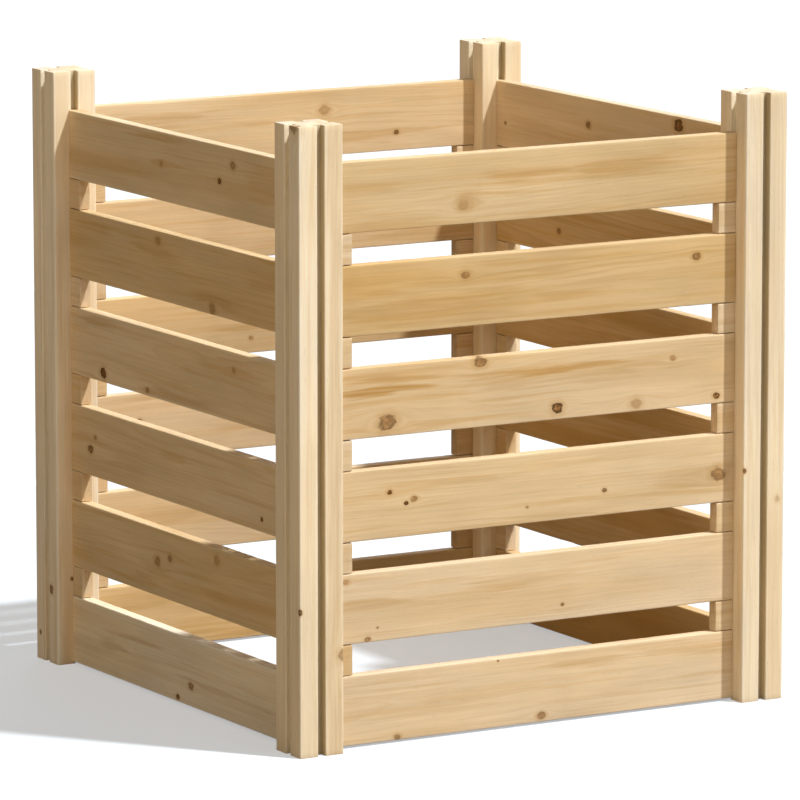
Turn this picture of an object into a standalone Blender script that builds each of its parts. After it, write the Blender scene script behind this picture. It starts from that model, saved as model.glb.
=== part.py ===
# Slatted wooden compost bin: four grooved corner posts with loose slats and spacer blocks between them.
# Frame: origin on the ground at the bin's centre, +X to the right and +Y away seen from the front, +Z up.
import bpy
import bmesh
from math import pi

# Driving dimensions, in metres
WIDTH = 0.691             # outer width over the posts, the same along X and Y
POST = 0.060              # side of a square post
TOP_REVEAL = 0.049        # how far the posts stand up above the highest slat
GROOVE_WIDTH = 0.0105     # groove that runs the whole height of every post face, along its middle
GROOVE_DEPTH = 0.011
SLATS_PER_SIDE = 6
SLAT_HEIGHT = 0.086
SLAT_THICKNESS = 0.0165
SLAT_GAP = 0.039          # open height between two slats
GROUND_GAP = 0.003        # from the ground up to the lowest slat
SPACER_REACH = 0.025      # how far a spacer block stands out from its post
SPACER_STEP = 0.00075     # how far a spacer's faces lie behind the faces of the slats
FIT = 0.0003              # clearance between pieces that touch
END_PLAY = 0.001          # from the end of a tongue to the bottom of its groove
POST_ARRIS = 0.0015       # planed-off width along the long edges of a post
BOARD_ARRIS = 0.0008      # planed-off width along the long edges of a slat or a spacer
ROOT_DEPTH = 0.006        # how far a spacer that is one with its slat sinks into it

# Derived sizes
PITCH = SLAT_HEIGHT + SLAT_GAP
STACK = SLATS_PER_SIDE * SLAT_HEIGHT + (SLATS_PER_SIDE - 1) * SLAT_GAP
POST_HEIGHT = GROUND_GAP + STACK + TOP_REVEAL
POST_CENTRE = (WIDTH - POST) / 2
OPENING = WIDTH - 2 * POST
TONGUE_THICKNESS = GROOVE_WIDTH - 2 * FIT
TONGUE_REACH = GROOVE_DEPTH - END_PLAY
SPACER_THICKNESS = SLAT_THICKNESS - 2 * SPACER_STEP
SPACER_HEIGHT = SLAT_GAP - 2 * FIT

# Each side of the bin: its name, its turn about Z and the names of its two ends, at local -X and at local +X
SIDES = (
    ("front", 0.0, ("left", "right")),
    ("right", pi / 2, ("front", "back")),
    ("back", pi, ("right", "left")),
    ("left", -pi / 2, ("back", "front")),
)
JOINED_SIDE = "back"      # here each spacer is one solid with the slat that it stands on
SNAP = 1e-6               # lengths closer than this count as equal

# Planed softwood: base colours of the three kinds of piece
POST_COLOUR = (0.82, 0.64, 0.40)
SLAT_COLOUR = (0.74, 0.53, 0.30)
SPACER_COLOUR = (0.70, 0.50, 0.28)
WOOD_ROUGHNESS = 0.62
TONE_SPREAD = 0.08        # how far the boards differ in brightness
TONE_STEP = 0.618         # spreads the tones evenly from board to board


def clear_scene():
    for item in list(bpy.data.objects):
        bpy.data.objects.remove(item, do_unlink=True)


def wood(name, colour, number):
    """Material of one board, a little lighter or darker than its neighbours."""
    tone = 1 + TONE_SPREAD * ((number * TONE_STEP) % 1 - 0.5)
    material = bpy.data.materials.new(name + "_wood")
    material.use_nodes = True
    shader = material.node_tree.nodes["Principled BSDF"]
    shader.inputs["Base Color"].default_value = (*(tone * channel for channel in colour), 1)
    shader.inputs["Roughness"].default_value = WOOD_ROUGHNESS
    shader.inputs["Metallic"].default_value = 0
    return material


def place(name, mesh, location, turn=0.0, parent=None):
    item = bpy.data.objects.new(name, mesh)
    item.location = location
    item.rotation_euler.z = turn
    item.parent = parent
    bpy.context.scene.collection.objects.link(item)
    return item


def upright_solid(outline, height):
    """Solid with the given plan, standing on Z = 0."""
    shape = bmesh.new()
    base = shape.faces.new([shape.verts.new((x, y, 0)) for x, y in outline])
    grown = bmesh.ops.extrude_face_region(shape, geom=[base])
    top = [item for item in grown["geom"] if isinstance(item, bmesh.types.BMVert)]
    bmesh.ops.translate(shape, verts=top, vec=(0, 0, height))
    bmesh.ops.recalc_face_normals(shape, faces=shape.faces)
    return shape


def plane_arrises(shape, axis, width, beyond):
    """Plane off the edges along one axis, "x" or "z", that lie further from the middle plane than its tongue."""
    chosen = []
    for edge in shape.edges:
        first, second = (vert.co for vert in edge.verts)
        skew = (second - first).length - abs(getattr(second - first, axis))
        if skew < SNAP and min(abs(first.y), abs(second.y)) > beyond:
            chosen.append(edge)
    bmesh.ops.bevel(shape, geom=chosen, offset=width, segments=1, affect="EDGES")


def finished(shape, name):
    mesh = bpy.data.meshes.new(name)
    shape.to_mesh(mesh)
    shape.free()
    return mesh


def quarter_turned(points, quarters):
    for _ in range(quarters):
        points = [(-y, x) for x, y in points]
    return points


def post_mesh():
    """Square post with planed corners and a groove in each face."""
    half = POST / 2
    corner = half - POST_ARRIS
    mouth = GROOVE_WIDTH / 2
    floor = half - GROOVE_DEPTH
    face = [(-corner, -half), (-mouth, -half), (-mouth, -floor), (mouth, -floor), (mouth, -half), (corner, -half)]
    outline = [point for quarters in range(4) for point in quarter_turned(face, quarters)]
    return finished(upright_solid(outline, POST_HEIGHT), "post")


def slat_mesh():
    """Board between two posts, with a thinner tongue at each end that runs in the posts' grooves."""
    shoulder = OPENING / 2 - FIT
    end = OPENING / 2 + TONGUE_REACH
    half = SLAT_THICKNESS / 2
    tongue = TONGUE_THICKNESS / 2
    right = [(shoulder, -half), (shoulder, -tongue), (end, -tongue), (end, tongue), (shoulder, tongue)]
    right.append((shoulder, half))
    left = quarter_turned(right, 2)
    shape = upright_solid(right + left, SLAT_HEIGHT)
    plane_arrises(shape, "x", BOARD_ARRIS, tongue)
    return finished(shape, "slat")


def spacer_mesh(height):
    """Short block that reaches out along +X from the face of a post, with its tongue in the groove behind."""
    half = SPACER_THICKNESS / 2
    tongue = TONGUE_THICKNESS / 2
    near = [(-TONGUE_REACH, -tongue), (FIT, -tongue), (FIT, -half), (SPACER_REACH, -half)]
    far = [(x, -y) for x, y in reversed(near)]
    shape = upright_solid(near + far, height)
    plane_arrises(shape, "z", BOARD_ARRIS, tongue)
    return finished(shape, "spacer")


def add_posts():
    mesh = post_mesh()
    corners = [(depth, hand) for depth in ("front", "back") for hand in ("left", "right")]
    for number, (depth, hand) in enumerate(corners):
        x = -POST_CENTRE if hand == "left" else POST_CENTRE
        y = -POST_CENTRE if depth == "front" else POST_CENTRE
        post = place(f"post_{depth}_{hand}", mesh.copy(), (x, y, 0))
        post.data.materials.append(wood(post.name, POST_COLOUR, number))


def join_to_slat(slat, spacer):
    """Make a spacer one solid with its slat; the spacer itself stays as a hidden guide."""
    spacer.hide_render = True
    spacer.display_type = "WIRE"
    union = slat.modifiers.new("joined_spacer", "BOOLEAN")
    union.operation = "UNION"
    union.solver = "EXACT"
    union.object = spacer


def add_spacers(slat, side, level, ends, number):
    """The two blocks that stand on a slat and carry the one above."""
    joined = side == JOINED_SIDE
    foot = SLAT_HEIGHT - ROOT_DEPTH if joined else SLAT_HEIGHT + FIT
    mesh = spacer_mesh(SLAT_HEIGHT + FIT + SPACER_HEIGHT - foot)
    stands = ((ends[0], -OPENING / 2, 0.0), (ends[1], OPENING / 2, pi))
    for offset, (end, x, turn) in enumerate(stands):
        spacer = place(f"spacer_{side}_{level}_{end}", mesh.copy(), (x, 0, foot), turn, slat)
        spacer.data.materials.append(wood(spacer.name, SPACER_COLOUR, 2 * number + offset))
        if joined:
            join_to_slat(slat, spacer)


def add_side(side, turn, ends, first_number):
    """The slats of one side, counted from the ground; each is parented to the one below, which lifts it."""
    board = slat_mesh()
    below = place(f"side_{side}", None, (0, 0, 0), turn)
    seat = (0, -POST_CENTRE, GROUND_GAP)
    for level in range(1, SLATS_PER_SIDE + 1):
        number = first_number + level
        slat = place(f"slat_{side}_{level}", board.copy(), seat, 0.0, below)
        slat.data.materials.append(wood(slat.name, SLAT_COLOUR, number))
        if level < SLATS_PER_SIDE:
            add_spacers(slat, side, level, ends, number)
        below = slat
        seat = (0, 0, PITCH)


clear_scene()
add_posts()
for index, (side, turn, ends) in enumerate(SIDES):
    add_side(side, turn, ends, index * SLATS_PER_SIDE)
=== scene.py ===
# Looks of the slatted wooden compost bin: planed softwood with grain, knots, end grain and worn arrises, with
# painted shade and light in the posts' grooves and a painted highlight on the slats' narrow edges.
# Frame: metres, origin on the ground at the bin's centre, +Z up, the front side towards -Y.
from collections import namedtuple
from math import cos, pi, sin
from random import Random

import bmesh
import bpy
from mathutils import Matrix, Vector, noise


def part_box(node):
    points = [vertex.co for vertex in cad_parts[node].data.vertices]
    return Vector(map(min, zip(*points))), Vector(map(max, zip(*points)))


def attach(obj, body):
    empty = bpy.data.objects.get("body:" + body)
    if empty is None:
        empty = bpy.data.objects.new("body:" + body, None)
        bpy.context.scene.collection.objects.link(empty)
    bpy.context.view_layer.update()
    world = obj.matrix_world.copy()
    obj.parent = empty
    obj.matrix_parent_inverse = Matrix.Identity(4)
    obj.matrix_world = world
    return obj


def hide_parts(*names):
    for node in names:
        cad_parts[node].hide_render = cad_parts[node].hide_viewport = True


# Sizes of the timber, in metres
POST = 0.060
GROOVE_WIDTH = 0.0105
GROOVE_DEPTH = 0.011
SLAT_HEIGHT = 0.086
TONGUE_THICKNESS = 0.0099
TONGUE_REACH = 0.0103
TONGUE_DROP = 0.0004      # how far a tongue's edges lie inside the edges of its board
SPACER_LENGTH = 0.035     # with its tongue
SPACER_HEIGHT = 0.0372
SPACER_THICKNESS = 0.015
JOINT_GAP = 0.0009        # the dark line between a spacer and the slat that it stands on
SLATS_PER_SIDE = 6

# Arrises: the edges of a board, planed round and a little worn
POST_ARRIS = 0.0015
LIP_ARRIS = 0.0006        # along the mouth of a groove
SLAT_ARRIS = 0.0011
SPACER_ARRIS = 0.0009
END_ARRIS = 0.0004        # round a sawn end
ARC_STEPS = 3
GUARD = 0.0022            # from an arris to the line that keeps the flat beside it flat
SMOOTH_ANGLE = 0.6
EDGE_SKIN = 0.0005        # how close to its height a slat's narrow edge is taken to be, for the painted highlight on it
WEAR_STEP = 0.006         # distance between two sections of a board
WAVE_DEPTH = 0.00018      # slow unevenness of an arris
WAVE_PITCH = 0.055
DENT_DEPTH = 0.0011
DENT_PITCH = 0.018
DENT_SHARE = 0.42         # height of the noise above which an arris is dented
WAVE_APART = 3.7          # keeps the waves of two arrises apart
DENT_APART = 5.3          # the same for their dents
DENT_SEED = 40            # keeps the dents apart from the waves
MOST_WEAR = 0.00045

# Sides: name, turn about Z seen from above, and the ends at the left and the right seen from outside
SIDES = (
    ("front", 0.0, ("left", "right")),
    ("right", pi / 2, ("front", "back")),
    ("back", pi, ("right", "left")),
    ("left", -pi / 2, ("back", "front")),
)
FUSED_SIDE = "back"       # here a slat's CAD node holds its two spacers as well
UPRIGHT = Matrix.Rotation(-pi / 2, 4, "Y")   # turns a board that lies along X upright

# Wood colours, linear: the pale early wood, the dark late wood and the deeper tint of some bands
Tone = namedtuple("Tone", "early late band")
CREAM = Tone((0.95, 0.795, 0.55), (0.81, 0.61, 0.37), (0.87, 0.675, 0.42))
WHEAT = Tone((0.82, 0.63, 0.395), (0.65, 0.44, 0.22), (0.73, 0.51, 0.265))
STRAW = Tone((0.80, 0.60, 0.35), (0.62, 0.40, 0.18), (0.71, 0.48, 0.23))
HONEY = Tone((0.77, 0.56, 0.30), (0.57, 0.35, 0.14), (0.67, 0.43, 0.18))
AMBER = Tone((0.73, 0.51, 0.25), (0.54, 0.32, 0.12), (0.63, 0.39, 0.14))
ROSY = Tone((0.78, 0.57, 0.32), (0.60, 0.37, 0.16), (0.69, 0.44, 0.19))
SLAT_TONES = {
    "front": (WHEAT, WHEAT, STRAW, ROSY, AMBER, HONEY),
    "right": (AMBER, HONEY, AMBER, AMBER, AMBER, WHEAT),
    "back": (AMBER, STRAW, WHEAT, HONEY, ROSY, STRAW),
    "left": (CREAM, HONEY, STRAW, STRAW, AMBER, STRAW),
}

# Knots of the slats: place along the board from its middle, height above its lower edge, radius and age,
# which runs from 0 for a live knot to 1 for a dead one
SlatKnot = namedtuple("SlatKnot", "along up radius age")
SLAT_KNOTS = {
    "slat_front_6": (SlatKnot(-0.106, 0.024, 0.0070, 0.12),),
    "slat_front_5": (SlatKnot(-0.103, 0.063, 0.0048, 0.55), SlatKnot(0.228, 0.061, 0.0045, 0.65)),
    "slat_front_4": (
        SlatKnot(-0.212, 0.017, 0.0098, 0.65),
        SlatKnot(-0.082, 0.080, 0.0066, 0.65),
        SlatKnot(0.027, 0.014, 0.0065, 0.92),
        SlatKnot(0.141, 0.010, 0.0066, 0.25),
        SlatKnot(0.194, 0.062, 0.0029, 0.40),
        SlatKnot(0.258, 0.010, 0.0039, 0.95),
    ),
    "slat_front_3": (
        SlatKnot(-0.209, 0.056, 0.0030, 1.0),
        SlatKnot(-0.186, 0.041, 0.0024, 1.0),
        SlatKnot(-0.175, 0.045, 0.0036, 0.6),
        SlatKnot(-0.015, 0.020, 0.0016, 0.6),
        SlatKnot(0.096, 0.031, 0.0028, 0.8),
        SlatKnot(0.262, 0.036, 0.0086, 0.60),
    ),
    "slat_front_2": (
        SlatKnot(0.036, 0.019, 0.0018, 0.8),
        SlatKnot(-0.240, 0.004, 0.0030, 0.6),
        SlatKnot(-0.226, 0.017, 0.0013, 0.7),
        SlatKnot(-0.270, 0.077, 0.0034, 0.3),
    ),
    "slat_front_1": (
        SlatKnot(0.006, 0.008, 0.0046, 0.6),
        SlatKnot(-0.199, 0.004, 0.0036, 0.6),
        SlatKnot(-0.056, 0.083, 0.0013, 0.8),
    ),
    "slat_left_6": (
        SlatKnot(0.144, 0.065, 0.0049, 0.55),
        SlatKnot(0.110, 0.042, 0.0034, 0.95),
        SlatKnot(-0.040, 0.046, 0.0033, 0.25),
    ),
    "slat_left_5": (SlatKnot(0.090, 0.007, 0.0070, 0.40), SlatKnot(-0.049, 0.074, 0.0056, 0.30)),
    "slat_left_4": (
        SlatKnot(-0.197, 0.012, 0.0066, 1.0),
        SlatKnot(0.144, 0.064, 0.0033, 0.4),
        SlatKnot(-0.079, 0.007, 0.0033, 0.5),
    ),
    "slat_left_3": (
        SlatKnot(-0.234, 0.034, 0.0056, 0.85),
        SlatKnot(-0.220, 0.051, 0.0033, 0.4),
        SlatKnot(0.213, 0.016, 0.0026, 0.9),
    ),
    "slat_left_2": (
        SlatKnot(-0.055, 0.044, 0.0062, 0.5),
        SlatKnot(-0.022, 0.053, 0.0046, 0.5),
        SlatKnot(0.099, 0.071, 0.0061, 0.25),
    ),
    "slat_left_1": (SlatKnot(0.030, 0.026, 0.0049, 0.6), SlatKnot(-0.004, 0.006, 0.0034, 0.9)),
    "slat_right_6": (
        SlatKnot(-0.157, 0.074, 0.0080, 0.9),
        SlatKnot(0.058, 0.052, 0.0048, 0.7),
        SlatKnot(0.263, 0.032, 0.0025, 0.7),
    ),
    "slat_right_5": (SlatKnot(0.128, 0.031, 0.0041, 0.6),),
    "slat_right_4": (SlatKnot(-0.120, 0.022, 0.0051, 0.7),),
    "slat_right_3": (SlatKnot(0.190, 0.060, 0.0061, 0.5), SlatKnot(-0.060, 0.030, 0.0025, 0.9)),
    "slat_right_2": (SlatKnot(-0.215, 0.055, 0.0054, 0.8),),
    "slat_right_1": (SlatKnot(0.080, 0.040, 0.0057, 0.4),),
    "slat_back_6": (SlatKnot(-0.060, 0.060, 0.0064, 0.3), SlatKnot(-0.168, 0.024, 0.0030, 0.8)),
    "slat_back_5": (SlatKnot(0.150, 0.030, 0.0054, 0.6),),
    "slat_back_4": (SlatKnot(-0.210, 0.064, 0.0069, 0.9), SlatKnot(0.050, 0.020, 0.0028, 0.5)),
    "slat_back_3": (SlatKnot(0.215, 0.048, 0.0043, 0.7),),
    "slat_back_2": (SlatKnot(-0.095, 0.032, 0.0072, 0.5), SlatKnot(0.122, 0.070, 0.0025, 0.9)),
    "slat_back_1": (SlatKnot(0.030, 0.058, 0.0049, 0.8),),
}

# Darker streaked patches of the slats: place along the board, height above its lower edge, half the length,
# half the height, and how strong they are
Stain = namedtuple("Stain", "along up length height strength")
SLAT_STAINS = {
    "slat_front_6": (
        Stain(-0.015, 0.055, 0.080, 0.010, 0.60),
        Stain(0.130, 0.055, 0.095, 0.015, 0.55),
        Stain(-0.235, 0.050, 0.050, 0.012, 0.30),
        Stain(-0.200, 0.014, 0.100, 0.010, 0.25),
        Stain(-0.100, 0.028, 0.026, 0.013, 0.40),
    ),
    "slat_front_5": (
        Stain(-0.170, 0.026, 0.140, 0.026, 0.42),
        Stain(-0.210, 0.050, 0.045, 0.004, 0.70),
        Stain(0.045, 0.028, 0.065, 0.008, 0.35),
    ),
    "slat_front_4": (
        Stain(-0.210, 0.055, 0.100, 0.008, 1.00),
        Stain(-0.200, 0.067, 0.080, 0.005, 0.70),
        Stain(0.000, 0.061, 0.075, 0.007, 0.95),
        Stain(0.082, 0.063, 0.065, 0.007, 0.80),
        Stain(0.060, 0.056, 0.220, 0.018, 0.40),
    ),
    "slat_front_3": (Stain(0.215, 0.036, 0.070, 0.016, 0.40), Stain(-0.150, 0.060, 0.120, 0.008, 0.35)),
    "slat_left_6": (
        Stain(-0.030, 0.077, 0.130, 0.006, 0.60),
        Stain(0.220, 0.050, 0.070, 0.026, 0.35),
        Stain(-0.020, 0.048, 0.060, 0.005, 0.50),
        Stain(-0.150, 0.030, 0.090, 0.008, 0.30),
    ),
    "slat_left_5": (
        Stain(-0.220, 0.070, 0.070, 0.008, 0.45),
        Stain(-0.060, 0.062, 0.080, 0.009, 0.55),
        Stain(0.110, 0.018, 0.090, 0.012, 0.55),
        Stain(0.220, 0.050, 0.060, 0.010, 0.35),
    ),
    "slat_left_4": (
        Stain(-0.200, 0.075, 0.070, 0.007, 0.50),
        Stain(0.010, 0.008, 0.120, 0.008, 0.50),
        Stain(0.150, 0.060, 0.090, 0.010, 0.40),
    ),
}
DRAWN_STAINS = 3          # on each of the other slats, each of their measures drawn between two limits
STAIN_LIMITS = Stain((-0.25, 0.25), (0.008, 0.078), (0.04, 0.13), (0.004, 0.013), (0.25, 0.50))

# The same for a post: height above the ground, and x from its middle
POST_STAINS = {"post_front_left": (Stain(0.380, 0.018, 1.000, 0.014, 0.30),)}

# Knots of the posts: height above the ground, place on a face measured from the post's middle, radius and age
PostKnot = namedtuple("PostKnot", "height x y radius age")
POST_KNOTS = {
    "post_front_left": (
        PostKnot(0.121, 0.029, -0.030, 0.0068, 0.45),
        PostKnot(0.179, -0.030, -0.029, 0.0030, 0.9),
        PostKnot(0.767, -0.030, -0.0165, 0.0100, 0.5),
    ),
    "post_front_right": (
        PostKnot(0.294, -0.0286, -0.030, 0.0028, 0.9),
        PostKnot(0.254, 0.0202, -0.030, 0.0036, 0.1),
    ),
    "post_back_left": (
        PostKnot(0.096, -0.030, -0.0125, 0.0050, 0.75),
        PostKnot(0.035, -0.030, 0.0189, 0.0024, 0.9),
        PostKnot(0.111, -0.0094, -0.030, 0.0022, 0.8),
    ),
    "post_back_right": (
        PostKnot(0.520, 0.030, 0.016, 0.0070, 0.6),
        PostKnot(0.240, -0.013, 0.030, 0.0060, 0.8),
    ),
}

# Grain
RING_WIDTH = (0.0021, 0.0034)     # narrowest and widest average growth ring of a board
PITH_DEPTH = (0.050, 0.120)       # how far the heart of the tree lies from a slat's middle plane
PITH_SIDE = 0.075
POST_PITH = (0.050, 0.075)        # the same for a post, diagonally outside it
TAPER = (0.004, 0.014)            # how fast the rings drift along a board, which draws pointed arches
WANDER = 0.0035                   # how far the heart wanders from a straight line
KNOT_STRETCH = 1.25               # how much longer a knot is along the grain
FLOW_STRETCH = 2.6                # how far along the board the grain starts to part round a knot
KNOT_RISE = 0.6                   # how much the rings are lifted at a knot, in knot radii
FAR = 50.0                        # more knot radii than any point is from a knot
KNOT_LIVE = (0.42, 0.215, 0.070)
KNOT_DEAD = (0.20, 0.085, 0.020)
KNOT_DARK = (0.060, 0.024, 0.005)
KNOT_FLECK = (0.56, 0.30, 0.115)
KNOT_HALO = (0.86, 0.76, 0.62)    # tints the wood round a knot
RESIN = (0.42, 0.245, 0.10)
STAIN = (0.57, 0.325, 0.105)
PALE_TINT = (1.05, 1.10, 1.22)    # patches of paler sapwood
WOOD_SHEEN = 0.04                 # unfinished wood reflects little
END_TINT = (0.93, 0.93, 0.97)     # a sawn end is a little greyer than a planed face
EDGE_HIGHLIGHT_AND_WEAR_TINT = (1.05, 1.10, 1.20)   # arrises are paler where worn, and the narrow edges of the slats get a painted highlight of their sunlit tops
GROOVE_PAINTED_SHADE = (0.66, 0.66, 0.62)  # painted shade that darkens the grooves in the front and back faces of the posts, deeper inward
SIDE_GROOVE_PAINTED_LIGHT = (1.04, 1.13, 1.26)   # painted light that lightens the grooves in their left and right faces against their shade
TINT_DEPTH = GROOVE_DEPTH * 1.05  # the part of a post that these two tints are for: from its face inward
TINT_SIDE = GROOVE_WIDTH * 0.52   # and sideways from the groove's middle
TINT_START = (0.0006, 0.0040)     # depths between which a tint begins
ROUGHNESS = 0.66                  # of the early wood
LATE_POLISH = 0.16                # how much smoother the raised grain is
END_ROUGHNESS = 0.18              # how much rougher sawn ends and knots are
KNOT_RINGS = 3.2                  # rings inside a knot
KNOT_STAND = 0.35                 # how far a knot stands up, as a share of the bump
BUMP_STRENGTH = 0.55
BUMP_DEPTH = 0.0004

# Noises of the wood: how fine each is along, through and up the board, per metre, its detail, and the two
# heights between which its patches begin
Texture = namedtuple("Texture", "fineness detail rough start end", defaults=(2.0, 0.5, 0.0, 1.0))
KNOT_RAGGED = Texture((100, 170, 170), 3.0)
KNOT_FLECKS = Texture((230, 280, 280), 3.0, 0.5, 0.47, 0.62)
KNOT_BROKEN = Texture((95, 95, 95), 2.0, 0.5, 0.38, 0.56)
RING_DRIFT = Texture((9, 45, 45))
RING_PATCHES = Texture((2.2, 14, 14), 2.0, 0.5, 0.25, 0.75)
SAPWOOD = Texture((1.9, 11, 11), 2.0, 0.5, 0.40, 0.66)
BAND_PATCHES = Texture((3, 10, 10), 2.0, 0.5, 0.3, 0.7)
STREAKS = Texture((3.4, 115, 115), 4.0, 0.6, 0.46, 0.70)
STAIN_RAGGED = Texture((11, 210, 210), 4.0)
STAIN_DASHES = Texture((9, 300, 300), 3.0, 0.5, 0.32, 0.62)
FIBRES = Texture((26, 1300, 1300), 3.0, 0.6)
FINE_GRAIN = Texture((9, 330, 330), 3.0)
CLOUDS = Texture((5, 22, 22), 3.0)
RESIN_CANALS = Texture((75, 1900, 1900), 1.0, 0.5, 0.70, 0.78)

# Noises along one number, and what tells a board's noises from another's
SWAY_FINENESS = 2.4               # of the heart's wandering along the board
SWAY_APART = 31.7                 # keeps its two directions apart
UNEVEN_FINENESS = 130.0           # of the change in width from ring to ring
UNEVEN_REACH = 2.2                # and its size, in rings
BAND_FINENESS = 34.0              # of the deeper bands across the rings
BAND_DETAIL = 2.0
BAND_APART = 3.1                  # keeps them apart from that change
MOST_SEED = 9
SEED_DRIFT = 0.37                 # how far a board's seed moves its noises sideways

# How each of them shows. Two numbers are the start and end of a ramp, or the slope and base of a line
DRIFT_REACH = 0.0030              # how far the drift moves the rings
LATE_POWER = 2.5                  # how late in a ring its dark wood comes
RING_END = (1.0, 0.80)            # ramp: where it ends
RING_BOLDNESS = (0.70, 0.15)      # line: from ring to ring
PATCH_BOLDNESS = (0.9, 0.25)      # line: from patch to patch of the board
PALE_SHARE = 0.8
BAND_EDGE = (0.46, 0.72)          # ramp
STREAK_SHARE = 0.75
CANAL_SHARE = 0.40
FIBRE_SHADE = (0.16, 0.92)        # lines: how light the wood is
FINE_SHADE = (0.18, 0.91)
CLOUD_SHADE = (0.40, 0.80)
LATE_HEIGHT = 0.5                 # how far late wood and fibres stand up
FIBRE_HEIGHT = 0.6
STAIN_RAGGEDNESS = 2.2            # how far a stain's edge wanders, as a share of its size
STAIN_EDGE = (1.0, 0.35)          # ramp, in the same share
DASH_SHARE = (0.40, 0.60)         # line: how much of a stain its dashes hold
KNOT_RAGGEDNESS = 1.1             # how far a knot's edge wanders, in its radii
KNOT_EDGE = 1.12                  # where a knot begins, in its radii
KNOT_EDGE_INSIDE = (0.25, 0.62)   # line over its age: where it is all there
KNOT_SHARE = (0.72, 0.28)         # line over its age: how much it covers the wood
KNOT_RING_SHARE = 0.20
FLECK_SHARE = 0.60
RIM_EDGE = (0.30, 0.90)           # ramp, in knot radii: the dark towards the rim
RIM_DARKNESS = (0.95, 0.05)       # line over the knot's age
BROKEN_SHARE = (0.80, 0.20)       # line: how much of that dark its patches hold
HALO_EDGE = (2.2, 0.9)            # ramp, in knot radii
HALO_SHARE = (0.3, 0.5)           # line over the knot's age

# Camera and light, for the photograph's view; the picture is PICTURE pixels wide and high
PICTURE = 800
FOCAL_PIXELS = 6643.4
CAMERA_PLACE = (-4.1608, -7.1278, 1.7562)
CAMERA_YAW = 0.52776
CAMERA_PITCH = 0.16795
SENSOR = 36.0
CLIP_END = 200
SUN_FROM = (0.784, -1.0, 2.0)
SUN_STRENGTH = 3.55
SUN_SIZE = 0.05           # angle across the key light, which softens its shadows
FRONT_FROM = (0.15, -1.0, 0.14)
FRONT_STRENGTH = 0.74
LEFT_FROM = (-1.0, -0.55, 0.16)
LEFT_STRENGTH = 0.76
LEFT_COLOUR = (1.0, 0.84, 0.66)
BACK_FROM = (0.7, 1.0, 0.4)
BACK_STRENGTH = 0.75
FILL_SIZE = 0.7           # angle across the low, broad lights that fill the shade
SKY_LIGHT = (0.145, 0.126, 0.104)
FLOOR_SIDE = 60.0
FLOOR_COLOUR = (0.52, 0.585, 0.66)
FLOOR_BOUNCE = (0.17, 0.14, 0.105)   # the floor's colour for the light that it throws back at the object
FLOOR_LIFT = 0.425       # what the camera sees added to the floor, so that its lit part is white


class Graph:
    """A shader's node tree, written as expressions of sockets, numbers and tuples."""

    def __init__(self, tree):
        self.tree = tree

    def add(self, kind, inputs, **settings):
        node = self.tree.nodes.new(kind)
        for name, value in settings.items():
            setattr(node, name, value)
        for key, value in inputs.items():
            self.feed(node.inputs[key], value)
        return node

    def feed(self, socket, value):
        if isinstance(value, bpy.types.NodeSocket):
            self.tree.links.new(value, socket)
        else:
            socket.default_value = value

    def math(self, operation, *values):
        return self.add("ShaderNodeMath", dict(enumerate(values)), operation=operation).outputs[0]

    def vector(self, operation, *values):
        return self.add("ShaderNodeVectorMath", dict(enumerate(values)), operation=operation).outputs[0]

    def scaled(self, vector, factor):
        inputs = {0: vector, "Scale": factor}
        return self.add("ShaderNodeVectorMath", inputs, operation="SCALE").outputs[0]

    def length(self, vector):
        return self.add("ShaderNodeVectorMath", {0: vector}, operation="LENGTH").outputs["Value"]

    def along(self, vector):
        return self.add("ShaderNodeSeparateXYZ", {0: vector}).outputs[0]

    def noise(self, vector, texture):
        """Noise from 0 to 1."""
        place = self.vector("MULTIPLY", vector, texture.fineness)
        inputs = {"Vector": place, "Scale": 1.0, "Detail": texture.detail, "Roughness": texture.rough}
        return self.add("ShaderNodeTexNoise", inputs).outputs[0]

    def noise_along(self, value, scale, detail=1.0):
        """Noise from 0 to 1 that changes with one number."""
        node = self.add("ShaderNodeTexNoise", {}, noise_dimensions="1D")
        for name, setting in (("W", value), ("Scale", scale), ("Detail", detail)):
            self.feed(node.inputs[name], setting)
        return node.outputs[0]

    def ramp(self, value, start, end):
        """0 on start's side of the two and 1 on end's side, with a smooth change between."""
        inputs = {0: value, 1: start, 2: end}
        return self.add("ShaderNodeMapRange", inputs, interpolation_type="SMOOTHSTEP").outputs[0]

    def patches(self, vector, texture):
        """0 outside a texture's patches and 1 inside them."""
        return self.ramp(self.noise(vector, texture), texture.start, texture.end)

    def line(self, value, slope, base):
        """slope times the value, plus base."""
        return self.math("MULTIPLY_ADD", value, slope, base)

    def centred(self, value, span):
        """A noise from 0 to 1 made one of that span about 0."""
        return self.line(value, span, -span / 2)

    def product(self, first, second):
        return self.math("MULTIPLY", first, second)

    def tinted(self, share, colour, tint):
        """The colour, with its share multiplied by a tint."""
        return self.mix(share, colour, self.mix(1.0, colour, tint, "MULTIPLY"))

    def mix(self, factor, first, second, blend="MIX"):
        first, second = ((*value, 1.0) if isinstance(value, tuple) else value for value in (first, second))
        inputs = {0: factor, 6: first, 7: second}
        return self.add("ShaderNodeMix", inputs, data_type="RGBA", blend_type=blend).outputs[2]

    def attribute(self, name):
        return self.add("ShaderNodeAttribute", {}, attribute_name=name).outputs["Fac"]


# How one board was cut from its log: where the tree's heart lies beside it, the width of its rings, how they
# drift along it, the seed of its noises, and its tone, knots and stains
Cut = namedtuple("Cut", "pith ring taper seed tone knots stains")

# A knot in its board's own axes. reach is 0 where it goes right through and 1 where it only breaks a face
BoardKnot = namedtuple("BoardKnot", "centre reach radius age")


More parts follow.
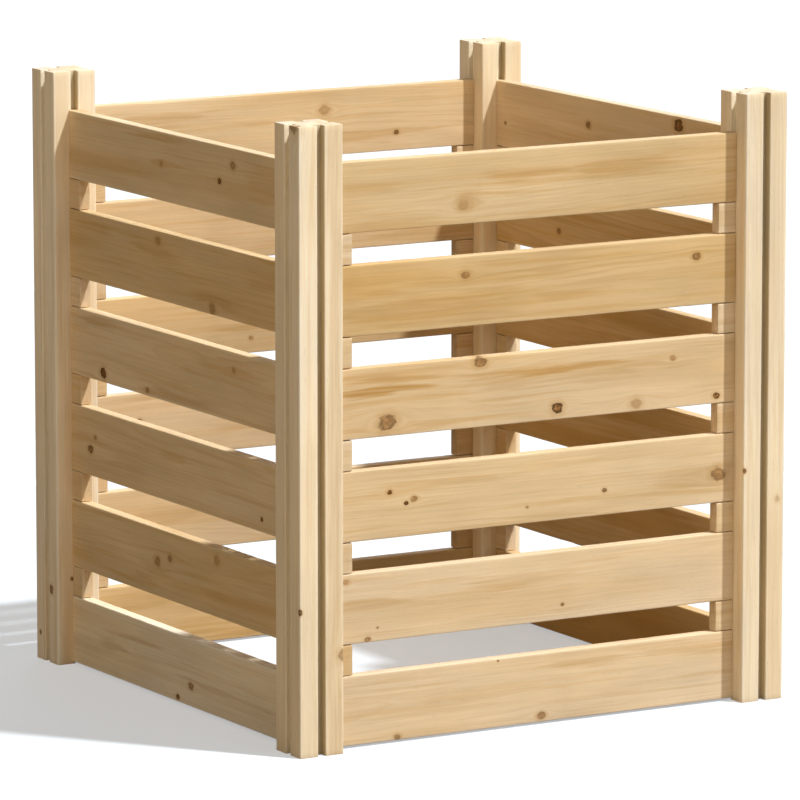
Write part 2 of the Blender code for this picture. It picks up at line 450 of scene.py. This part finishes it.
def knot_nodes(graph, place, knots):
    """The place moved as the grain parts round the knots, how far they lift the rings, the distance to the
    nearest knot in its own radii, and that knot's age."""
    shift, rise, near, age = (0.0, 0.0, 0.0), 0.0, FAR, 0.0
    ragged = graph.centred(graph.noise(place, KNOT_RAGGED), KNOT_RAGGEDNESS)
    for knot in knots:
        offset = graph.vector("SUBTRACT", place, knot.centre)
        own = graph.length(graph.vector("MULTIPLY", offset, (1 / KNOT_STRETCH, knot.reach, 1)))
        own = graph.line(own, 1 / knot.radius, ragged)
        flow = graph.length(graph.vector("MULTIPLY", offset, (1 / FLOW_STRETCH, knot.reach, 1)))
        flow = graph.math("POWER", graph.math("DIVIDE", flow, knot.radius), 2.0)
        across = graph.vector("MULTIPLY", offset, (0, knot.reach, 1))
        parted = graph.scaled(across, graph.math("DIVIDE", -1.0, graph.math("MAXIMUM", flow, 1.0)))
        shift = graph.vector("ADD", shift, parted)
        lift = graph.math("DIVIDE", knot.radius * KNOT_RISE, graph.math("ADD", flow, 1.0))
        rise = graph.math("ADD", rise, lift)
        closer = graph.math("LESS_THAN", own, near)
        age = graph.line(closer, graph.math("SUBTRACT", knot.age, age), age)
        near = graph.math("MINIMUM", near, own)
    return graph.vector("ADD", place, shift), rise, near, age


def ring_nodes(graph, place, own, rise, cut):
    """Distance from the tree's heart, and the same counted in growth rings."""
    x = graph.along(place)
    starts = (cut.seed, cut.seed + SWAY_APART)
    sway = [graph.noise_along(graph.math("ADD", x, start), SWAY_FINENESS) for start in starts]
    sway = [graph.centred(value, 2 * WANDER) for value in sway]
    heart = graph.add("ShaderNodeCombineXYZ", {1: sway[0], 2: sway[1]}).outputs[0]
    heart = graph.vector("ADD", heart, cut.pith)
    spoke = graph.vector("MULTIPLY", graph.vector("SUBTRACT", place, heart), (0, 1, 1))
    radius = graph.math("ADD", graph.length(spoke), rise)
    radius = graph.line(x, cut.taper, radius)
    radius = graph.line(graph.noise(own, RING_DRIFT), DRIFT_REACH, radius)
    uneven = graph.noise_along(graph.math("ADD", radius, cut.seed), UNEVEN_FINENESS)
    return radius, graph.line(uneven, UNEVEN_REACH, graph.math("DIVIDE", radius, cut.ring))


def stain_nodes(graph, place, stains):
    """How strongly a place is stained, from 0 to 1, with edges drawn out along the grain."""
    ragged = graph.centred(graph.noise(place, STAIN_RAGGED), STAIN_RAGGEDNESS)
    total = 0.0
    for stain in stains:
        offset = graph.vector("SUBTRACT", place, (stain.along, 0, stain.up))
        away = graph.length(graph.vector("MULTIPLY", offset, (1 / stain.length, 0, 1 / stain.height)))
        share = graph.ramp(graph.math("ADD", away, ragged), *STAIN_EDGE)
        total = graph.math("MAXIMUM", total, graph.product(share, stain.strength))
    return total


def ringed_wood(graph, own, radius, rings, cut):
    """Colour of the growth rings, pale patches and deeper bands, and how much of a place is late wood."""
    part = graph.math("FRACT", rings)
    late = graph.product(graph.math("POWER", part, LATE_POWER), graph.ramp(part, *RING_END))
    each = graph.add("ShaderNodeTexWhiteNoise", {}, noise_dimensions="1D")
    graph.feed(each.inputs["W"], graph.math("FLOOR", rings))
    bold = graph.line(each.outputs["Value"], *RING_BOLDNESS)
    patchy = graph.line(graph.patches(own, RING_PATCHES), *PATCH_BOLDNESS)
    late = graph.product(late, graph.product(bold, patchy))
    pale = graph.product(graph.patches(own, SAPWOOD), PALE_SHARE)
    palest = tuple(channel * tint for channel, tint in zip(cut.tone.early, PALE_TINT))
    colour = graph.mix(late, graph.mix(pale, cut.tone.early, palest), cut.tone.late)
    band = graph.noise_along(graph.math("ADD", radius, cut.seed + BAND_APART), BAND_FINENESS, BAND_DETAIL)
    band = graph.product(graph.ramp(band, *BAND_EDGE), graph.patches(own, BAND_PATCHES))
    streak = graph.product(graph.patches(own, STREAKS), STREAK_SHARE)
    return graph.mix(graph.math("MAXIMUM", band, streak), colour, cut.tone.band), late


def clear_wood(graph, place, rise, cut):
    """Colour of the wood between the knots, and how far its grain stands up."""
    own = graph.vector("ADD", place, (cut.seed, SEED_DRIFT * cut.seed, 0.0))
    radius, rings = ring_nodes(graph, place, own, rise, cut)
    colour, late = ringed_wood(graph, own, radius, rings, cut)
    if cut.stains:
        dash = graph.line(graph.patches(own, STAIN_DASHES), *DASH_SHARE)
        stained = graph.product(dash, stain_nodes(graph, place, cut.stains))
        colour = graph.mix(stained, colour, STAIN)
    fibre = graph.noise(own, FIBRES)
    shade = graph.line(fibre, *FIBRE_SHADE)
    shade = graph.product(shade, graph.line(graph.noise(own, FINE_GRAIN), *FINE_SHADE))
    shade = graph.product(shade, graph.line(graph.noise(own, CLOUDS), *CLOUD_SHADE))
    colour = graph.scaled(colour, shade)
    canal = graph.product(graph.patches(own, RESIN_CANALS), CANAL_SHARE)
    colour = graph.mix(canal, colour, RESIN)
    return colour, graph.line(late, LATE_HEIGHT, graph.product(fibre, FIBRE_HEIGHT))


def knot_wood(graph, near, age, place):
    """Colour inside a knot: faint rings round its heart, pale flecks, and dark patches towards its rim."""
    rings = graph.math("FRACT", graph.product(near, KNOT_RINGS))
    body = graph.mix(age, KNOT_LIVE, KNOT_DEAD)
    body = graph.mix(graph.product(rings, KNOT_RING_SHARE), body, KNOT_DARK)
    fleck = graph.product(graph.patches(place, KNOT_FLECKS), FLECK_SHARE)
    body = graph.mix(fleck, body, KNOT_FLECK)
    dark = graph.product(graph.ramp(near, *RIM_EDGE), graph.line(age, *RIM_DARKNESS))
    broken = graph.line(graph.patches(place, KNOT_BROKEN), *BROKEN_SHARE)
    return graph.mix(graph.product(dark, broken), body, KNOT_DARK)


def groove_nodes(graph, across, out):
    """1 inside the grooves of a post that open along one axis, and 0 elsewhere. out is how far a place lies
    from the post's middle along that axis, and across is how far it lies from it sideways."""
    depth = graph.math("SUBTRACT", POST / 2, out)
    inside = graph.math("LESS_THAN", depth, TINT_DEPTH)
    inside = graph.product(inside, graph.ramp(depth, *TINT_START))
    return graph.product(inside, graph.math("LESS_THAN", across, TINT_SIDE))


def painted_light_and_worn_arrises(graph, colour, place):
    """The colour with painted shade in the grooves of a post's front and back faces, painted light in those of
    its left and right faces, paler worn arrises, and a painted highlight on the slats' narrow edges.
    """
    split = graph.add("ShaderNodeSeparateXYZ", {0: place}).outputs
    thick, high = graph.math("ABSOLUTE", split[1]), graph.math("ABSOLUTE", split[2])
    # The slats' narrow top and bottom edges get a painted highlight; the arrises are paler where worn.
    edge_highlight_and_wear = graph.math("GREATER_THAN", high, SLAT_HEIGHT / 2 - EDGE_SKIN)
    edge_highlight_and_wear = graph.math("MAXIMUM", edge_highlight_and_wear, graph.attribute("arris"))
    # Painted shade darkens the front and back grooves, and painted light lightens the side grooves against
    # their shade.
    for share, tint in (
        (groove_nodes(graph, high, thick), GROOVE_PAINTED_SHADE),
        (groove_nodes(graph, thick, high), SIDE_GROOVE_PAINTED_LIGHT),
        (edge_highlight_and_wear, EDGE_HIGHLIGHT_AND_WEAR_TINT),
    ):
        colour = graph.tinted(share, colour, tint)
    return colour


def wood_material(name, cut):
    """Planed softwood, as this board was cut from its log."""
    material = bpy.data.materials.new(name + "_wood")
    material.use_nodes = True
    graph = Graph(material.node_tree)
    shader = material.node_tree.nodes["Principled BSDF"]
    place = graph.add("ShaderNodeTexCoord", {}).outputs["Object"]
    parted, rise, near, age = knot_nodes(graph, place, cut.knots)
    colour, height = clear_wood(graph, parted, rise, cut)
    halo = graph.product(graph.ramp(near, *HALO_EDGE), graph.line(age, *HALO_SHARE))
    colour = graph.tinted(halo, colour, KNOT_HALO)
    inside = graph.ramp(near, KNOT_EDGE, graph.line(age, *KNOT_EDGE_INSIDE))
    inside = graph.product(inside, graph.line(age, *KNOT_SHARE))
    colour = graph.mix(inside, colour, knot_wood(graph, near, age, place))
    end = graph.attribute("end_grain")
    colour = painted_light_and_worn_arrises(graph, graph.tinted(end, colour, END_TINT), place)
    rough = graph.line(height, -LATE_POLISH, ROUGHNESS)
    rough = graph.line(graph.math("MAXIMUM", end, inside), END_ROUGHNESS, rough)
    height = graph.line(inside, KNOT_STAND, height)
    bump = graph.add("ShaderNodeBump", {"Strength": BUMP_STRENGTH, "Distance": BUMP_DEPTH, "Height": height})
    graph.feed(shader.inputs["Base Color"], colour)
    graph.feed(shader.inputs["Roughness"], rough)
    shader.inputs["Specular IOR Level"].default_value = WOOD_SHEEN
    graph.feed(shader.inputs["Normal"], bump.outputs[0])
    return material


# A point of a section's outline: its place, the way in which it wears if on an arris, and its corner's number
OutlinePoint = namedtuple("OutlinePoint", "place inward corner")


def rounded(corners):
    """Outline of a section from its square corners, each given as (y, z, radius), anticlockwise."""
    outline = []
    for index, (y, z, radius) in enumerate(corners):
        here = Vector((y, z))
        before = (Vector(corners[index - 1][:2]) - here).normalized()
        after = (Vector(corners[(index + 1) % len(corners)][:2]) - here).normalized()
        if radius == 0:
            outline.append(OutlinePoint(here, None, index))
            continue
        centre = here + radius * (before + after)
        outline.append(OutlinePoint(here + (radius + GUARD) * before, None, index))
        for step in range(ARC_STEPS + 1):
            angle = step / ARC_STEPS * pi / 2
            inward = cos(angle) * after + sin(angle) * before
            outline.append(OutlinePoint(centre - radius * inward, inward, index))
        outline.append(OutlinePoint(here + (radius + GUARD) * after, None, index))
    return outline


def rectangle(thickness, height, radius):
    """Section of a slat, a spacer or a tongue, with its middle at the origin."""
    y, z = thickness / 2, height / 2
    return rounded([(-y, -z, radius), (y, -z, radius), (y, z, radius), (-y, z, radius)])


def post_section():
    """Section of a post: a square with a groove in the middle of each face."""
    half = POST / 2
    mouth = GROOVE_WIDTH / 2
    floor = half - GROOVE_DEPTH
    face = [(-half, -half, POST_ARRIS), (-mouth, -half, LIP_ARRIS), (-mouth, -floor, 0)]
    face += [(mouth, -floor, 0), (mouth, -half, LIP_ARRIS)]
    corners = []
    for _ in range(4):
        corners += face
        face = [(-z, y, radius) for y, z, radius in face]
    return rounded(corners)


def inset(outline, distance):
    """The outline drawn in by a distance, square to its edges."""
    drawn = []
    for index, point in enumerate(outline):
        before, after = outline[index - 1].place, outline[(index + 1) % len(outline)].place
        edges = (point.place - before, after - point.place)
        sides = [Vector((-edge.y, edge.x)).normalized() for edge in edges]
        miter = sides[0] + sides[1]
        drawn.append(point._replace(place=point.place + distance * 2 / miter.length_squared * miter))
    return drawn


def wear(x, corner, seed):
    """How deep an arris is knocked back at a place along the board."""
    wave = 0.5 + 0.5 * noise.noise(Vector((x / WAVE_PITCH, corner * WAVE_APART, seed)))
    dent = noise.noise(Vector((x / DENT_PITCH, corner * DENT_APART, seed + DENT_SEED)))
    dent = max(0.0, dent - DENT_SHARE)
    return min(WAVE_DEPTH * wave + DENT_DEPTH * dent, MOST_WEAR)


def section_at(outline, x, seed=None):
    """The outline's points at a place along the board, each with True on an arris. A seed wears the arrises."""
    points = []
    for place, inward, corner in outline:
        if seed is not None and inward is not None:
            place = place + wear(x, corner, seed) * inward
        points.append(((x, *place), inward is not None))
    return points


def worn_run(outline, start, end, seed):
    """Sections from one end of a board to the other, worn between the two."""
    count = max(2, round((end - start) / WEAR_STEP))
    places = (start + (end - start) * step / count for step in range(1, count))
    between = [section_at(outline, x, seed) for x in places]
    return [section_at(outline, start), *between, section_at(outline, end)]


def sawn_end(outline, x, inward):
    """The sections that round off a board's end, from the end inward."""
    return [
        section_at(inset(outline, END_ARRIS), x),
        section_at(inset(outline, END_ARRIS / 4), x + inward * END_ARRIS / 3),
    ]


def loft(name, sections, ends=()):
    """Closed mesh through sections of as many points each. The flat caps are end grain, and so is the flat skin
    that leads to the sections whose numbers are in ends."""
    shape = bmesh.new()
    arris = shape.verts.layers.float.new("arris")
    sawn = shape.faces.layers.float.new("end_grain")
    rings = []
    for section in sections:
        ring = []
        for place, on_arris in section:
            vert = shape.verts.new(place)
            vert[arris] = float(on_arris)
            ring.append(vert)
        rings.append(ring)
    for number in range(1, len(rings)):
        first, second = rings[number - 1], rings[number]
        for index in range(len(first)):
            face = shape.faces.new((first[index - 1], first[index], second[index], second[index - 1]))
            face[sawn] = float(number in ends)
            face.smooth = number not in ends
    for ring in (rings[0], rings[-1]):
        shape.faces.new(ring)[sawn] = 1.0
    bmesh.ops.recalc_face_normals(shape, faces=shape.faces)
    mesh = bpy.data.meshes.new(name)
    shape.to_mesh(mesh)
    shape.free()
    mesh.set_sharp_from_angle(angle=SMOOTH_ANGLE)
    return mesh


def post_mesh(name, height, seed):
    outline = post_section()
    sections = sawn_end(outline, -height / 2, 1)
    sections += worn_run(outline, END_ARRIS - height / 2, height / 2 - END_ARRIS, seed)
    sections += reversed(sawn_end(outline, height / 2, -1))
    return loft(name, sections)


def slat_mesh(name, length, thickness, seed):
    """A slat along X with a tongue at each end."""
    board = rectangle(thickness, SLAT_HEIGHT, SLAT_ARRIS)
    tongue = rectangle(TONGUE_THICKNESS, SLAT_HEIGHT - 2 * TONGUE_DROP, SLAT_ARRIS)
    shoulder = length / 2 - TONGUE_REACH
    sections = [section_at(tongue, -length / 2), section_at(tongue, -shoulder)]
    sections += worn_run(board, -shoulder, shoulder, seed)
    sections += [section_at(tongue, shoulder), section_at(tongue, length / 2)]
    return loft(name, sections, (2, len(sections) - 2))


def spacer_mesh(name, seed):
    """A spacer along X: its tongue at the low end, its free end rounded off."""
    block = rectangle(SPACER_THICKNESS, SPACER_HEIGHT, SPACER_ARRIS)
    tongue = rectangle(TONGUE_THICKNESS, SPACER_HEIGHT - 2 * TONGUE_DROP, SPACER_ARRIS)
    end = SPACER_LENGTH / 2
    shoulder = TONGUE_REACH - end
    sections = [section_at(tongue, -end), section_at(tongue, shoulder)]
    sections += worn_run(block, shoulder, end - END_ARRIS, seed)
    sections += reversed(sawn_end(block, end, -1))
    return loft(name, sections, (2,))


def new_cut(draw, tone, pith, knots=(), stains=()):
    """The cut of one board, with rings, taper and seed of its own."""
    taper = draw.choice((-1, 1)) * draw.uniform(*TAPER)
    return Cut(pith, draw.uniform(*RING_WIDTH), taper, draw.uniform(0, MOST_SEED), tone, knots, stains)


def slat_pith(draw):
    """The heart beside the flat of a board, a little above or below its middle."""
    depth = draw.choice((-1, 1)) * draw.uniform(*PITH_DEPTH)
    return (0.0, depth, draw.uniform(-PITH_SIDE, PITH_SIDE))


def post_pith(draw):
    """The heart diagonally outside a post, so that its faces show straight grain."""
    return (0.0, *(draw.choice((-1, 1)) * draw.uniform(*POST_PITH) for _ in range(2)))


def drawn_stains(draw):
    """Faint stains for a slat that has none listed."""
    return [Stain(*(draw.uniform(*limits) for limits in STAIN_LIMITS)) for _ in range(DRAWN_STAINS)]


def add_piece(name, mesh, matrix, cut, body, node):
    """One board in its place, with its wood, its body and the CAD node that it stands for."""
    piece = bpy.data.objects.new(name, mesh)
    bpy.context.scene.collection.objects.link(piece)
    piece.matrix_world = matrix
    mesh.materials.append(wood_material(name, cut))
    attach(piece, body)
    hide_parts(node)


def add_post(node, knots):
    low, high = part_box(node)
    height = high.z - low.z
    draw = Random(node)
    middle = height / 2
    knots = [BoardKnot((knot.height - middle, knot.y, -knot.x), 1.0, knot.radius, knot.age) for knot in knots]
    stains = [stain._replace(along=stain.along - middle, up=-stain.up) for stain in POST_STAINS.get(node, ())]
    cut = new_cut(draw, CREAM, post_pith(draw), knots, stains)
    matrix = Matrix.Translation((low + high) / 2) @ UPRIGHT
    name = node + "_timber"
    add_piece(name, post_mesh(name, height, cut.seed), matrix, cut, "posts", node)


def add_slat(side, turn, level):
    """One slat; returns the place of its middle and its length."""
    node = f"slat_{side}_{level}"
    name = node + "_board"
    low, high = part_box(node)
    size = high - low
    centre = (low + high) / 2
    centre.z = low.z + SLAT_HEIGHT / 2
    draw = Random(node)
    knots = [
        BoardKnot((knot.along, 0.0, knot.up - SLAT_HEIGHT / 2), 0.0, knot.radius, knot.age)
        for knot in SLAT_KNOTS.get(node, ())
    ]
    stains = SLAT_STAINS.get(node) or drawn_stains(draw)
    stains = [stain._replace(up=stain.up - SLAT_HEIGHT / 2) for stain in stains]
    cut = new_cut(draw, SLAT_TONES[side][level - 1], slat_pith(draw), knots, stains)
    mesh = slat_mesh(name, max(size.xy), min(size.xy), cut.seed)
    matrix = Matrix.Translation(centre) @ Matrix.Rotation(turn, 4, "Z")
    add_piece(name, mesh, matrix, cut, f"{side}_{level}", node)
    return centre, max(size.xy)


def add_spacers(side, turn, level, ends, slat_centre, slat_length):
    """The two blocks that stand on a slat, with their tongues in line with its own."""
    reach = (slat_length - SPACER_LENGTH) / 2
    rise = (SLAT_HEIGHT + SPACER_HEIGHT) / 2 + JOINT_GAP
    for end, hand, flip in ((ends[0], -1, 0.0), (ends[1], 1, pi)):
        name = f"spacer_{side}_{level}_{end}"
        node = f"slat_{side}_{level}" if side == FUSED_SIDE else name
        draw = Random(name)
        cut = new_cut(draw, draw.choice((WHEAT, STRAW, ROSY)), slat_pith(draw))
        matrix = Matrix.Translation(slat_centre) @ Matrix.Rotation(turn, 4, "Z")
        matrix = matrix @ Matrix.Translation((hand * reach, 0, rise)) @ Matrix.Rotation(flip, 4, "Z")
        mesh = spacer_mesh(name + "_block", cut.seed)
        add_piece(name + "_block", mesh, matrix, cut, f"{side}_{level}", node)


def add_side(side, turn, ends):
    for level in range(1, SLATS_PER_SIDE + 1):
        centre, length = add_slat(side, turn, level)
        if level < SLATS_PER_SIDE:
            add_spacers(side, turn, level, ends, centre, length)


def add_lamp(name, origin, strength, angle, colour=(1.0, 1.0, 1.0)):
    """A distant lamp that shines from the direction of origin."""
    light = bpy.data.lights.new(name, "SUN")
    light.energy = strength
    light.angle = angle
    light.color = colour
    lamp = bpy.data.objects.new(name, light)
    lamp.rotation_euler = Vector(origin).to_track_quat("Z", "Y").to_euler()
    bpy.context.scene.collection.objects.link(lamp)


def seen_directly(graph):
    """1 for what is seen, also by reflection or through glass, and 0 for what lights other surfaces."""
    path = graph.add("ShaderNodeLightPath", {}).outputs
    seen = graph.math("MAXIMUM", path["Is Camera Ray"], path["Is Glossy Ray"])
    return graph.math("MAXIMUM", seen, path["Is Transmission Ray"])


def add_world():
    world = bpy.data.worlds.new("studio")
    world.use_nodes = True
    graph = Graph(world.node_tree)
    colour = graph.mix(seen_directly(graph), SKY_LIGHT, (1.0, 1.0, 1.0))
    graph.feed(world.node_tree.nodes["Background"].inputs["Color"], colour)
    bpy.context.scene.world = world


def add_floor():
    shape = bmesh.new()
    bmesh.ops.create_grid(shape, x_segments=1, y_segments=1, size=FLOOR_SIDE / 2)
    mesh = bpy.data.meshes.new("floor")
    shape.to_mesh(mesh)
    shape.free()
    floor = bpy.data.objects.new("floor", mesh)
    bpy.context.scene.collection.objects.link(floor)
    material = bpy.data.materials.new("pale_floor")
    material.use_nodes = True
    graph = Graph(material.node_tree)
    shader = material.node_tree.nodes["Principled BSDF"]
    seen = seen_directly(graph)
    graph.feed(shader.inputs["Base Color"], graph.mix(seen, FLOOR_BOUNCE, FLOOR_COLOUR))
    shader.inputs["Roughness"].default_value = 1.0
    shader.inputs["Specular IOR Level"].default_value = 0.0
    shader.inputs["Emission Color"].default_value = (1, 1, 1, 1)
    graph.feed(shader.inputs["Emission Strength"], graph.product(seen, FLOOR_LIFT))
    mesh.materials.append(material)


def add_camera():
    camera = bpy.data.cameras.new("camera")
    camera.sensor_width = SENSOR
    camera.lens = FOCAL_PIXELS / PICTURE * SENSOR
    camera.clip_end = CLIP_END
    item = bpy.data.objects.new("camera", camera)
    item.location = CAMERA_PLACE
    item.rotation_euler = (pi / 2 - CAMERA_PITCH, 0, -CAMERA_YAW)
    bpy.context.scene.collection.objects.link(item)
    bpy.context.scene.camera = item


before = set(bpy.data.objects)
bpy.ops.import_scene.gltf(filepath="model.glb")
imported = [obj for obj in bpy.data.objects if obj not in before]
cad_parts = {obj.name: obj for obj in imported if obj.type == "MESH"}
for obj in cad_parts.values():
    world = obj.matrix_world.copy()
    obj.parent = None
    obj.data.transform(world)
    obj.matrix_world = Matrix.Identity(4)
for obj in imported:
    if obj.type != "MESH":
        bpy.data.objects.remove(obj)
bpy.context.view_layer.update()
for node, knots in POST_KNOTS.items():
    add_post(node, knots)
for side, turn, ends in SIDES:
    add_side(side, turn, ends)
add_camera()
add_lamp("key", SUN_FROM, SUN_STRENGTH, SUN_SIZE)
add_lamp("front_fill", FRONT_FROM, FRONT_STRENGTH, FILL_SIZE)
add_lamp("left_fill", LEFT_FROM, LEFT_STRENGTH, FILL_SIZE, LEFT_COLOUR)
add_lamp("back_fill", BACK_FROM, BACK_STRENGTH, FILL_SIZE)
add_world()
add_floor()
bpy.context.scene.view_settings.view_transform = "Standard"
